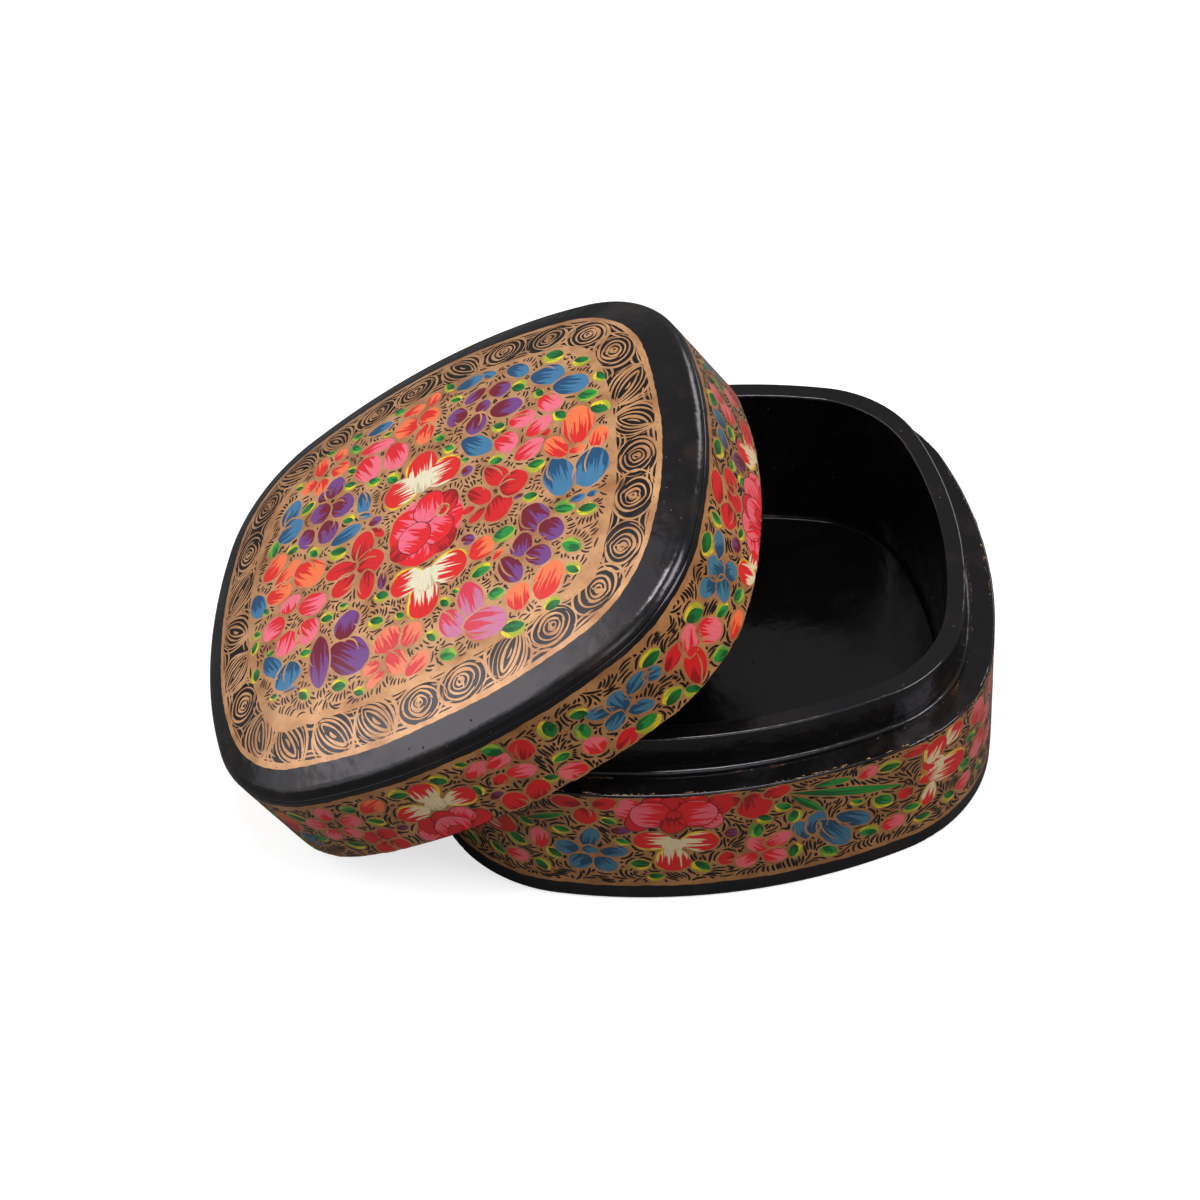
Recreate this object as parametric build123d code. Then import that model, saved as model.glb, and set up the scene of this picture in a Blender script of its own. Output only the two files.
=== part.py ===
from build123d import *

import os
from math import atan2, degrees, hypot, sqrt

# Papier mache trinket box with a lift-off lid. Millimetres, +Z up.
# Origin: centre of the base's underside. The lid lies tilted across the base,
# with one end of its rim down on the table at the -X side.

# Plan: a cushion shape, four bowed sides joined by tangent corner arcs.
LENGTH = 100.0           # along X
WIDTH = 90.0             # along Y
END_BOW_R = 82.0         # radius of the two sides that face +X and -X
SIDE_BOW_R = 98.0        # radius of the two sides that face +Y and -Y
CORNER_R = 26.0

# Base: moulded wall ring, bottom board let into it, and an inner collar.
BASE_WALL_H = 27.0       # up to the ledge that the lid's rim sits on
BASE_WALL_T = 5.0
BOARD_T = 5.0
BOARD_CHAMFER = 0.4      # leaves a shallow groove round the board's underside
FOOT_ROUND_R = 0.8
LEDGE_ROUND_R = 0.35

# Collar: stands on the board, lines the wall and rises above the ledge.
COLLAR_T = 3.2
COLLAR_RISE = 8.2
COLLAR_INNER_CORNER_R = 20.0   # rounder than the collar's outside, so its corners are thicker
COLLAR_EDGE_R = 0.45
COLLAR_FOOT_R = 1.4      # soft inside corner down to the board

# Bead of filler round the collar's foot, on the ledge.
BEAD_W = 0.9
BEAD_H = 0.9
BEAD_ROUND_R = 0.6

# Lid: wall ring under a moulded pillow-shaped top, with a fine seam between them.
LID_WALL_H = 17.5
LID_WALL_T = 4.0         # clears the collar by 1 mm all round
RIM_ROUND_R = 0.4
SEAM_ROUND_R = 0.4       # both edges at the seam are eased by this much
TOP_EDGE_Z = 19.1        # above the rim: where the top's upright edge meets its dome
TOP_CROWN_Z = 24.8       # above the rim: the dome's middle
TOP_EDGE_R = 2.2         # softens the corner between that edge and the dome
HOLLOW_EDGE_Z = 18.2     # above the rim: where the hollow underside meets the skirt's inner face
HOLLOW_CROWN_Z = 20.8    # above the rim: the middle of the hollow underside
DOME_POWER = 4.5         # nearly flat in the middle, and falling faster towards the edge
DOME_STEP = 2.6          # spacing of the dome surface's shaping points

# Where the lid lies: its rim's centre, then the turn, tilt and spin that lay it there.
LID_AT = (-31.1, 1.95, 25.6)
LID_TURN = -6.1          # about Z: the way the lid slopes down
LID_TILT = -30.95        # about Y: how far it leans
LID_SPIN = 0.7           # about the lid's own upright axis

COLLAR_TOP_Z = BASE_WALL_H + COLLAR_RISE
COLLAR_INSET = BASE_WALL_T + COLLAR_T


def outline_arcs(inset=0.0, corner_r=None):
    """Centre and radius of the +X bow, the +X+Y corner and the +Y bow, moved in by `inset`."""
    end_r = END_BOW_R - inset
    side_r = SIDE_BOW_R - inset
    round_r = CORNER_R - inset if corner_r is None else corner_r
    end_x = LENGTH / 2 - inset - end_r
    side_y = WIDTH / 2 - inset - side_r

    # The corner arc is tangent inside both bows, so its centre is at known distances from theirs.
    from_end = end_r - round_r
    from_side = side_r - round_r
    span = hypot(end_x, side_y)
    along = (span**2 + from_end**2 - from_side**2) / (2 * span)
    across = sqrt(from_end**2 - along**2)
    ux, uy = -end_x / span, side_y / span
    corner = (end_x + ux * along - uy * across, uy * along + ux * across)
    return ((end_x, 0), end_r), (corner, round_r), ((0, side_y), side_r)


def plan(inset=0.0, corner_r=None):
    """Face on XY: the cushion outline moved in by `inset`, with its own corner radius if given."""
    ((end_x, _), end_r), (corner, round_r), ((_, side_y), side_r) = outline_arcs(inset, corner_r)
    corner_x, corner_y = corner
    end_angle = degrees(atan2(corner_y, corner_x - end_x))
    side_angle = degrees(atan2(corner_y - side_y, corner_x))
    turn = side_angle - end_angle
    arcs = [
        CenterArc((end_x, 0), end_r, -end_angle, 2 * end_angle),
        CenterArc((corner_x, corner_y), round_r, end_angle, turn),
        CenterArc((0, side_y), side_r, side_angle, 180 - 2 * side_angle),
        CenterArc((-corner_x, corner_y), round_r, 180 - side_angle, turn),
        CenterArc((-end_x, 0), end_r, 180 - end_angle, 2 * end_angle),
        CenterArc((-corner_x, -corner_y), round_r, 180 + end_angle, turn),
        CenterArc((0, -side_y), side_r, 180 + side_angle, 180 - 2 * side_angle),
        CenterArc((corner_x, -corner_y), round_r, -side_angle, turn),
    ]
    return make_face(arcs)


def block(bottom, top, inset=0.0, corner_r=None):
    """Solid with the plan's outline between two heights."""
    return Pos(0, 0, bottom) * extrude(plan(inset, corner_r), amount=top - bottom)


def top_edges(solid):
    return solid.edges().group_by(Axis.Z)[-1]


def bottom_edges(solid):
    return solid.edges().group_by(Axis.Z)[0]


def base_wall():
    """Ring from the table to the ledge; its foot and its ledge's outer edge are eased."""
    outer = block(0, BASE_WALL_H)
    outer = fillet(bottom_edges(outer), FOOT_ROUND_R)
    outer = fillet(top_edges(outer), LEDGE_ROUND_R)
    return outer - block(-1, BASE_WALL_H + 1, BASE_WALL_T)


def base_floor():
    """Board let into the foot of the wall, flush with it underneath."""
    board = block(0, BOARD_T, BASE_WALL_T)
    return chamfer(bottom_edges(board), BOARD_CHAMFER)


def base_collar():
    """Inner ring that lines the wall and guides the lid, with eased edges at its mouth."""
    ring = block(BOARD_T, COLLAR_TOP_Z, BASE_WALL_T)
    ring = fillet(top_edges(ring), COLLAR_EDGE_R)

    # The hollow starts just under the ring, so its rounded foot ends in an edge with some body.
    hollow = block(BOARD_T - 0.3, COLLAR_TOP_Z + 1, COLLAR_INSET, COLLAR_INNER_CORNER_R)
    ring = ring - fillet(bottom_edges(hollow), COLLAR_FOOT_R)
    mouth = ring.faces().sort_by(Axis.Z)[-1].inner_wires()[0]
    return fillet(mouth.edges(), COLLAR_EDGE_R)


def collar_bead():
    """Rounded bead on the ledge, against the collar's foot."""
    inset = BASE_WALL_T - BEAD_W
    bead = block(BASE_WALL_H, BASE_WALL_H + BEAD_H, inset)
    bead = fillet(top_edges(bead), BEAD_ROUND_R)
    return bead - block(BASE_WALL_H - 1, BASE_WALL_H + BEAD_H + 1, BASE_WALL_T)


def lid_wall():
    """The lid's skirt, from its rim up to the seam, in the lid's own upright position."""
    outer = block(0, LID_WALL_H)
    outer = fillet(bottom_edges(outer), RIM_ROUND_R)
    outer = fillet(top_edges(outer), SEAM_ROUND_R)
    hollow = block(-1, LID_WALL_H + 1, LID_WALL_T)
    return outer - hollow


def reach(x, y, inset):
    """How far out (x, y) lies: 0 in the middle and 1 on the outline moved in by `inset`."""
    x, y = max(abs(x), 1e-6), max(abs(y), 1e-6)
    end, corner, side = outline_arcs(inset)
    hits = []
    for (cx, cy), radius in (end, corner, side):
        facing = x * cx + y * cy
        size = x * x + y * y
        grow = (facing + sqrt(facing**2 - size * (cx * cx + cy * cy - radius**2))) / size
        hits.append((grow, grow * x, grow * y))

    # The point's direction leaves through the bow on whose own side of the corner it stays.
    (corner_x, corner_y), _ = corner
    end_slope = corner_y / (corner_x - end[0][0])
    side_slope = (corner_y - side[0][1]) / corner_x
    if hits[0][2] <= end_slope * (hits[0][1] - end[0][0]):
        return 1 / hits[0][0]
    if hits[2][2] - side[0][1] >= side_slope * hits[2][1]:
        return 1 / hits[2][0]
    return 1 / hits[1][0]


def dome(bottom, edge_z, crown_z, inset=0.0):
    """Block whose top is a pillow-shaped surface from `edge_z` at its outline to `crown_z`."""
    half_x = LENGTH / 2 - inset + 3
    half_y = WIDTH / 2 - inset + 3
    columns = round(2 * half_x / DOME_STEP)
    rows = round(2 * half_y / DOME_STEP)
    points = []
    for i in range(columns + 1):
        x = half_x * (2 * i / columns - 1)
        line = []
        for j in range(rows + 1):
            y = half_y * (2 * j / rows - 1)
            fall = (crown_z - edge_z) * reach(x, y, inset) ** DOME_POWER
            line.append(Vector(x, y, crown_z - fall))
        points.append(line)
    surface = Face.make_surface_from_array_of_points(points, tol=0.002)
    return split(block(bottom, crown_z + 1, inset), bisect_by=surface, keep=Keep.BOTTOM)


def lid_top():
    """Pillow-shaped shell on top of the skirt, with a short upright edge."""
    shell = dome(LID_WALL_H, TOP_EDGE_Z, TOP_CROWN_Z)
    shell = fillet(shell.faces().sort_by(Axis.Z)[-1].edges(), TOP_EDGE_R)
    shell = fillet(bottom_edges(shell), SEAM_ROUND_R)
    return shell - dome(LID_WALL_H - 1, HOLLOW_EDGE_Z, HOLLOW_CROWN_Z, LID_WALL_T)


def lay_lid(solid):
    """Moves a lid piece from upright on the XY plane to where it lies."""
    return Pos(*LID_AT) * Rot(0, 0, LID_TURN) * Rot(0, LID_TILT, 0) * Rot(0, 0, LID_SPIN) * solid


def main():
    pieces = {
        "base_wall": base_wall(),
        "base_floor": base_floor(),
        "base_collar": base_collar(),
        "collar_bead": collar_bead(),
        "lid_wall": lay_lid(lid_wall()),
        "lid_top": lay_lid(lid_top()),
    }
    os.makedirs("parts", exist_ok=True)
    for name, solid in pieces.items():
        export_step(solid, f"parts/{name}.step")


main()
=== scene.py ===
import math

import bpy
import numpy as np
from mathutils import Matrix, Vector


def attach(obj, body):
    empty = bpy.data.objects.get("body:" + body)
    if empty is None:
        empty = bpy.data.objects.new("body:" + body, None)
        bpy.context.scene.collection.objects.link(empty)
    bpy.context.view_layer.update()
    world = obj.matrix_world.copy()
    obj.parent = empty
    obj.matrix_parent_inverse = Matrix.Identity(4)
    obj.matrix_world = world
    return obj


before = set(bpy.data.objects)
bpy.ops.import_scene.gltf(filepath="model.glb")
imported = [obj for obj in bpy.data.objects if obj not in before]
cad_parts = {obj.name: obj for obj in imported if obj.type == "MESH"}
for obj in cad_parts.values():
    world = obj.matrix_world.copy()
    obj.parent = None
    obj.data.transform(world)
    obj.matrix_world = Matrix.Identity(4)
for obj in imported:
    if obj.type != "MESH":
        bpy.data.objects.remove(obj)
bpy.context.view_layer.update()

# Sizes in millimetres, as in the solids; meshes are scaled to metres when they are built.
MM = 0.001
LENGTH, WIDTH = 100.0, 90.0
END_BOW_R, SIDE_BOW_R, CORNER_R = 82.0, 98.0, 26.0
LEDGE_Z = 27.0
TOP_EDGE_Z, TOP_CROWN_Z, DOME_POWER = 19.1, 24.8, 4.5
LID_AT = (-31.1, 1.95, 25.6)
LID_TURN, LID_TILT, LID_SPIN = -6.1, -30.95, 0.7

# Painted zones.
BASE_GOLD_LOW, BASE_GOLD_HIGH = 3.7, 26.6    # heights on the base wall
LID_GOLD_LOW, LID_GOLD_HIGH = 0.35, 16.25    # heights on the lid's skirt
SIDE_LINE_W = 0.9                            # plain gold line along the black edge
BORDER_OUT, BORDER_IN = 5.0, 14.0            # insets of the lid's gold border
BORDER_LINE_W, FIELD_LINE_W = 0.95, 1.55     # its outer line, and the band inside it
BORDER_SHIFT = (-0.7, -0.5)                  # it was drawn a little off the lid's middle
EYES = 29                                    # gold eyes round the lid's border

# Paint films, as heights above the surface they lie on.
GROUND_LIFT, STROKE_LIFT, PETAL_LIFT, OVER_LIFT, ROSE_EYE_LIFT = 0.012, 0.022, 0.030, 0.040, 0.066
LEAF_LIFT, YELLOW_LIFT, HEART_LIFT = PETAL_LIFT + 0.0085, PETAL_LIFT - 0.005, OVER_LIFT + 0.004
ROSE_RISE = 0.0035                           # each petal of a rose lies this much above the last

# Widths of brush lines.
RIM_W, CURL_W = 0.34, 0.36                   # gold, round a petal and across it
TOP_STROKE_W, WALL_STROKE_W = 0.38, 0.47     # black hatching

TURN = 6.28                                  # about a full turn, for random starts
TINY = 1e-9                                  # keeps a divisor from being nothing


# ------------------------------------------------------------------ plan and surfaces

class Plan:
    """The box's cushion outline. Lengths along it are measured at the inset `ref`."""

    def __init__(self, ref=0.0):
        end_x = LENGTH / 2 - END_BOW_R
        side_y = WIDTH / 2 - SIDE_BOW_R
        from_end, from_side = END_BOW_R - CORNER_R, SIDE_BOW_R - CORNER_R
        span = math.hypot(end_x, side_y)
        along = (span**2 + from_end**2 - from_side**2) / (2 * span)
        across = math.sqrt(from_end**2 - along**2)
        ux, uy = -end_x / span, side_y / span
        kx, ky = end_x + ux * along - uy * across, uy * along + ux * across
        low = math.atan2(ky, kx - end_x)
        high = math.atan2(ky - side_y, kx)
        turn = high - low
        quarter = math.pi / 2 - high
        # Arcs anticlockwise from +X: centre x, y, radius, first angle and sweep.
        self.arcs = np.array([
            (end_x, 0, END_BOW_R, 0, low),
            (kx, ky, CORNER_R, low, turn),
            (0, side_y, SIDE_BOW_R, high, 2 * quarter),
            (-kx, ky, CORNER_R, math.pi - high, turn),
            (-end_x, 0, END_BOW_R, math.pi - low, 2 * low),
            (-kx, -ky, CORNER_R, math.pi + low, turn),
            (0, -side_y, SIDE_BOW_R, math.pi + high, 2 * quarter),
            (kx, -ky, CORNER_R, 2 * math.pi - high, turn),
            (end_x, 0, END_BOW_R, 2 * math.pi - low, low),
        ])
        self.radii = self.arcs[:, 2] - ref
        lengths = self.radii * self.arcs[:, 4]
        self.starts = np.concatenate([[0], np.cumsum(lengths)[:-1]])
        self.perimeter = float(lengths.sum())

    def at(self, s, inset):
        """Points and outward normals at lengths `s`, moved in by `inset`."""
        s = np.mod(s, self.perimeter)
        i = np.searchsorted(self.starts, s, side="right") - 1
        arc = self.arcs[i]
        angle = arc[..., 3] + (s - self.starts[i]) / self.radii[i]
        normal = np.stack([np.cos(angle), np.sin(angle)], -1)
        radius = (arc[..., 2] - inset)[..., None]
        return arc[..., :2] + normal * radius, normal


OUTLINE = Plan()
BORDER = Plan((BORDER_OUT + BORDER_IN) / 2)
PERIMETER = OUTLINE.perimeter
QUARTER = PERIMETER / 4


def on_wall(s, z, lift):
    """Surface points of either wall, from length round the outline and height."""
    point, normal = OUTLINE.at(s, 0.0)
    point = point + normal * lift[..., None]
    return np.concatenate([point, z[..., None]], -1)


def on_ledge(s, inset, lift):
    """Surface points of the base's ledge, from length round the outline and distance in from it."""
    point, _ = OUTLINE.at(s, inset)
    return np.concatenate([point, (LEDGE_Z + lift)[..., None]], -1)


def reach(x, y):
    """How far out points of the lid lie: 0 in the middle, 1 on the outline."""
    x, y = np.abs(x) + TINY, np.abs(y) + TINY
    size = x**2 + y**2
    share = np.zeros_like(size)
    for cx, cy, radius, start, sweep in OUTLINE.arcs[:3]:
        facing = x * cx + y * cy
        grow = (facing + np.sqrt(facing**2 - size * (cx**2 + cy**2 - radius**2))) / size
        angle = np.arctan2(grow * y - cy, grow * x - cx)
        here = (angle >= start - TINY) & (angle <= start + sweep + TINY)
        share = np.where(here & (share == 0), 1 / grow, share)
    return share


def dome_height(x, y):
    """Height of the lid's dome above its rim."""
    return TOP_CROWN_Z - (TOP_CROWN_Z - TOP_EDGE_Z) * reach(x, y) ** DOME_POWER


def on_top(x, y, lift):
    """Surface points of the lid's dome."""
    return np.stack([x, y, dome_height(x, y) + lift], -1)


def on_border(s, inset, lift):
    """Surface points of the lid's border, from length round it and inset."""
    point, _ = BORDER.at(s, inset)
    return on_top(point[..., 0] + BORDER_SHIFT[0], point[..., 1] + BORDER_SHIFT[1], lift)


def lid_pose():
    """How the lid leans across the base."""
    turn, tilt, spin = (Matrix.Rotation(math.radians(angle), 4, axis)
                        for angle, axis in ((LID_TURN, "Z"), (LID_TILT, "Y"), (LID_SPIN, "Z")))
    return Matrix.Translation(Vector(LID_AT) * MM) @ turn @ tilt @ spin


LID_POSE = lid_pose()


# ------------------------------------------------------------------ paint films

def srgb(r, g, b):
    """Linear colour of an 8-bit one."""
    return tuple(((c / 255 + 0.055) / 1.055) ** 2.4 if c > 10 else c / (255 * 12.92)
                 for c in (r, g, b))


# Paints: ground colour, colour of the brush streaks, how far they reach from the petal's dark end.
PAINTS = {
    "pink": (srgb(232, 110, 130), srgb(214, 32, 42), 0.42),
    "red": (srgb(206, 30, 34), srgb(150, 14, 22), 0.30),
    "rose": (srgb(234, 104, 128), srgb(222, 30, 38), 0.52),
    "orange": (srgb(240, 118, 72), srgb(214, 38, 34), 0.50),
    "coral": (srgb(236, 128, 96), srgb(214, 56, 62), 0.52),
    "violet": (srgb(112, 66, 130), srgb(112, 22, 44), 0.50),
    "plum": (srgb(112, 56, 110), srgb(96, 20, 44), 0.55),
    "mauve": (srgb(196, 116, 152), srgb(210, 54, 78), 0.45),
    "blue": (srgb(64, 118, 156), srgb(28, 74, 112), 0.48),
    "white": (srgb(226, 218, 188), srgb(214, 34, 36), 0.53),
    "cream": (srgb(226, 218, 188), srgb(196, 184, 150), 0.20),
    "yellow": (srgb(230, 208, 40), srgb(206, 168, 28), 0.20),
    "green": (srgb(38, 140, 58), srgb(14, 92, 44), 0.45),
    "leaf": (srgb(220, 202, 44), srgb(164, 172, 48), 0.62),
    "lime": (srgb(150, 178, 58), srgb(92, 148, 58), 0.50),
    "deep": (srgb(12, 80, 38), srgb(22, 112, 50), 0.50),
    "chip": (srgb(176, 158, 140), srgb(120, 84, 60), 0.50),
    "rust": (srgb(120, 78, 50), srgb(70, 44, 32), 0.50),
    "gilt": (srgb(200, 146, 92), srgb(156, 102, 56), 0.30),
    "ink": (srgb(66, 14, 34), srgb(40, 8, 22), 0.50),
}
UNPAINTED = ((0, 0, 0), (0, 0, 0), 0)        # for films whose material has its own colour


class Film:
    """Thin painted shapes on one surface, gathered into one mesh."""

    def __init__(self, place):
        self.place = place
        self.points, self.faces, self.brush, self.ground, self.streak = [], [], [], [], []
        self.count = 0

    def grid(self, u, v, lift, along=None, across=None, paint=None, seed=0.0):
        """Adds a net of quads; `along` and `across` place the brush marks of `paint`."""
        rows, cols = u.shape
        lift = np.broadcast_to(np.asarray(lift, float), u.shape)
        self.points.append(self.place(u, v, lift).reshape(-1, 3))
        index = np.arange(rows * cols).reshape(rows, cols) + self.count
        quads = np.stack([index[:-1, :-1], index[1:, :-1], index[1:, 1:], index[:-1, 1:]], -1)
        self.faces.append(quads.reshape(-1, 4))
        self.count += rows * cols
        if along is None:
            along, across = np.zeros_like(u), np.zeros_like(u)
        self.brush.append(np.stack([along, across], -1).reshape(-1, 2))
        ground, streak, far = PAINTS.get(paint, UNPAINTED)
        self.ground.append(np.tile([*ground, far], (rows * cols, 1)))
        self.streak.append(np.tile([*streak, seed], (rows * cols, 1)))

    def build(self, name, material, body, slot):
        """Makes the mesh object, riding on its body."""
        mesh = bpy.data.meshes.new(name)
        points = np.concatenate(self.points) * MM
        faces = np.concatenate(self.faces)
        mesh.from_pydata(points.tolist(), [], faces.tolist())
        corner = np.empty(len(mesh.loops), np.int32)
        mesh.loops.foreach_get("vertex_index", corner)
        uv = mesh.uv_layers.new(name="brush")
        uv.data.foreach_set("uv", np.concatenate(self.brush)[corner].astype(np.float32).ravel())
        for label, values in (("ground", self.ground), ("streak", self.streak)):
            layer = mesh.color_attributes.new(label, "FLOAT_COLOR", "POINT")
            layer.data.foreach_set("color", np.concatenate(values).astype(np.float32).ravel())
        mesh.shade_smooth()
        mesh.materials.append(material)
        if body == "lid":
            mesh.transform(LID_POSE)
        piece = bpy.data.objects.new(name, mesh)
        bpy.context.scene.collection.objects.link(piece)
        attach(piece, body)


def ribbon(film, u, v, width, lift, taper=False, closed=False, paint=None, point=0.55):
    """A brush line of varying width along the points (u, v); a smaller `point` has blunter ends."""
    if closed:
        u, v = np.append(u, u[0]), np.append(v, v[0])
    du, dv = np.gradient(u), np.gradient(v)
    if closed:
        du[0] = du[-1] = (u[1] - u[-2]) / 2
        dv[0] = dv[-1] = (v[1] - v[-2]) / 2
    size = np.hypot(du, dv) + TINY
    t = np.linspace(0, 1, len(u))
    half = np.broadcast_to(np.asarray(width, float) / 2, u.shape)
    if taper:
        half = half * np.sin(math.pi * (0.02 + 0.96 * t)) ** point
    side_u, side_v = -dv / size * half, du / size * half
    film.grid(np.stack([u - side_u, u, u + side_u], 1), np.stack([v - side_v, v, v + side_v], 1), lift,
              np.repeat(t[:, None], 3, 1), np.stack([-half, 0 * half, half], 1), paint)


def turned(x, y, angle, cx, cy):
    """Local petal coordinates turned by `angle` degrees and moved to (cx, cy)."""
    c, s = math.cos(math.radians(angle)), math.sin(math.radians(angle))
    return cx + c * x - s * y, cy + s * x + c * y


class Canvas:
    """One painted surface: its films, and a map of which places are taken by flowers."""

    CELL = 0.15
    REACH = 34                       # cells over which distances are measured
    NET = (0.45, 1.2)                # most length and width of a petal's quads
    WOBBLE = 0.05                    # unevenness of a petal's two edges
    CROWDED = 0.4                    # share of a petal that may lie on places already taken
    PILE, PILE_STEP = 9, 0.0008      # petals that meet lie at slightly different heights
    EDGE_DROP = 0.003                # a petal's edge lies this much lower than its middle
    INK_UP, RIM_UP, CURL_UP = 0.0015, 0.0003, 0.004    # lines lie this far above their petal
    CURL_FROM = 3                    # shortest petal with a gold curl

    def __init__(self, place, u_range, v_range, closed, seed):
        self.closed = closed
        self.u0, self.v0, self.v1 = u_range[0], *v_range
        self.columns = int(round((u_range[1] - u_range[0]) / self.CELL))
        self.rows = int(round((v_range[1] - v_range[0]) / self.CELL))
        self.cell = (u_range[1] - u_range[0]) / self.columns if closed else self.CELL
        self.taken = np.zeros((self.rows, self.columns), bool)
        self.flowers, self.strokes, self.rims = Film(place), Film(place), Film(place)
        self.pile = 0
        self.rng, self.curl_rng = np.random.default_rng(seed), np.random.default_rng(seed + 100)

    def cells(self, u, v):
        """Rows and columns of the cells that hold the points."""
        column = np.floor((np.asarray(u) - self.u0) / self.cell).astype(int)
        row = np.floor((np.asarray(v) - self.v0) / self.cell).astype(int)
        return self.on_map(row, column)

    def on_map(self, row, column):
        """Cells brought back onto the map: round it where it closes, and to its edge elsewhere."""
        column = np.mod(column, self.columns) if self.closed else np.clip(column, 0, self.columns - 1)
        return np.clip(row, 0, self.rows - 1), column

    def claim(self, u, v):
        """Marks the inside of a closed outline as taken."""
        margin = 0.2
        gu, gv = np.meshgrid(np.arange(u.min() - margin, u.max() + margin, self.cell),
                             np.arange(v.min() - margin, v.max() + margin, self.cell))
        inside = np.zeros(gu.shape, bool)
        for k in range(len(u)):
            au, av, bu, bv = u[k - 1], v[k - 1], u[k], v[k]
            if av == bv:
                continue
            crosses = (av > gv) != (bv > gv)
            inside ^= crosses & (gu < au + (gv - av) * (bu - au) / (bv - av))
        within = inside & (gv > self.v0) & (gv < self.v1)
        self.taken[self.cells(gu[within], gv[within])] = True

    def petal(self, x, y, length, width, angle, paint, lift=PETAL_LIFT, fat=1.0, full=0.55,
              over=False, claim=True, outline=None, rim=None):
        """A brush-painted petal: `angle` is the way it points, away from its dark end.

        A larger `fat` moves its widest place outwards and a smaller `full` makes its ends rounder. It is
        left out where other petals lie, unless it goes `over` them.
        """
        rows = max(7, int(length / self.NET[0]))
        cols = 2 * max(2, int(width / self.NET[1])) + 1
        t = 0.5 - 0.5 * np.cos(np.linspace(0, math.pi, rows))
        half = width / 2 * np.sin(math.pi * np.clip(t, 0, 1) ** fat).clip(0) ** full
        phase = self.rng.uniform(0, TURN, 3)
        left, right = (
            1 + self.WOBBLE * np.sin(slow * t + phase[a]) + self.WOBBLE * 0.6 * np.sin(fast * t + phase[b])
            for slow, a, fast, b in ((5, 0, 11, 1), (6, 2, 10, 0))
        )
        c = np.linspace(-1, 1, cols)
        side = np.where(c[None] > 0, left[:, None], right[:, None])
        local_x = np.repeat((t[:, None] - 0.5) * length, cols, 1)
        local_y = c[None] * half[:, None] * side
        u, v = turned(local_x, local_y, angle, x, y)
        v = np.clip(v, self.v0, self.v1)
        loop_u = np.concatenate([u[:, 0], u[::-1, -1]])
        loop_v = np.concatenate([v[:, 0], v[::-1, -1]])
        if not over and self.taken[self.cells(u, v)].mean() > self.CROWDED:
            return False
        self.pile = (self.pile + 1) % self.PILE
        lift = lift + self.PILE_STEP * self.pile
        height = np.full(u.shape, lift - self.EDGE_DROP)
        height[1:-1, 1:-1] = lift
        along, across = np.repeat(t[:, None], cols, 1), c[None] * half[:, None]
        self.flowers.grid(u, v, height, along, across, paint, self.rng.uniform())
        if claim:
            self.claim(loop_u, loop_v)
        if outline:
            ribbon(self.flowers, loop_u, loop_v, outline, lift + self.INK_UP, closed=True, paint="ink")
        if rim:
            thick = rim * (1 + 0.3 * np.sin(np.linspace(0, TURN, len(loop_u) + 1) * 2 + phase[0]))
            ribbon(self.rims, loop_u, loop_v, thick, lift + self.RIM_UP, closed=True)
            self.curl(x, y, length, width, angle, lift + self.CURL_UP)
        return True

    def curl(self, x, y, length, width, angle, lift):
        """Gold brush curl over some of the petals, from the dark end towards the middle."""
        bend, far = self.curl_rng.uniform(-1, 1), self.curl_rng.uniform(0.5, 0.85)
        if length < self.CURL_FROM or abs(bend) < 0.3:
            return
        t = np.linspace(0, 1, 11)
        u, v = turned(length * (far * t - 0.56), 0.5 * width * bend * np.sin(2.5 * t), angle, x, y)
        ribbon(self.rims, u, np.clip(v, self.v0, self.v1), CURL_W, lift, taper=True)

    def distance(self):
        """Distance in millimetres from every cell to the nearest taken one."""
        far = float(self.REACH)
        rise = np.where(self.taken, 0.0, far)
        for r in range(1, self.rows):
            rise[r] = np.minimum(rise[r], rise[r - 1] + 1)
        for r in range(self.rows - 2, -1, -1):
            rise[r] = np.minimum(rise[r], rise[r + 1] + 1)
        best = np.full(rise.shape, far**2)
        for shift in range(-self.REACH, self.REACH + 1):
            best = np.minimum(best, np.roll(rise, shift, 1)**2 + shift**2)
        return np.sqrt(best) * self.cell

    def read(self, field, u, v):
        """Value of a cell field between cell centres."""
        column = (u - self.u0) / self.cell - 0.5
        row = np.clip((v - self.v0) / self.cell - 0.5, 0, self.rows - 1.001)
        if not self.closed:
            column = np.clip(column, 0, self.columns - 1.001)
        c0, r0 = np.floor(column).astype(int), np.floor(row).astype(int)
        fc, fr = column - c0, row - r0
        c1 = c0 + 1
        if self.closed:
            c0, c1 = np.mod(c0, self.columns), np.mod(c1, self.columns)
        low, high = (field[r, c0] * (1 - fc) + field[r, c1] * fc for r in (r0, r0 + 1))
        return low * (1 - fr) + high * fr


# ------------------------------------------------------------------ hatching

# Kind of stroke, its distance from the flower, half its length in steps, and how high the swirl pattern
# has to be where it is laid.
ANYWHERE = -9.0
TOP_STROKES = (
    ("comb", 1.15, 4, ANYWHERE), ("echo", 0.60, 5, 0.7), ("flow", 0, 6, 0.6), ("comb", 0.90, 3, ANYWHERE),
    ("flow", 0, 4, ANYWHERE), ("comb", 0.72, 2, ANYWHERE), ("flow", 0, 3, ANYWHERE),
)
WALL_STROKES = (
    ("echo", 0.56, 6, 0.5), ("flow", 0, 6, ANYWHERE), ("flow", 0, 4, ANYWHERE), ("comb", 0.75, 2, ANYWHERE),
    ("flow", 0, 2, ANYWHERE),
)
HATCH_FAR = 2.9                  # the gold stays plain farther than this from any flower
HATCH_GAP = 0.38                 # clear distance kept round each stroke's middle line
HATCH_EDGE = 0.26                # gold line left round each petal
HATCH_END = 0.15                 # strokes stay this far from the canvas's low and high edge
STROKE_STEP = (0.20, 0.28)       # least and most length of a stroke's step
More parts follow.
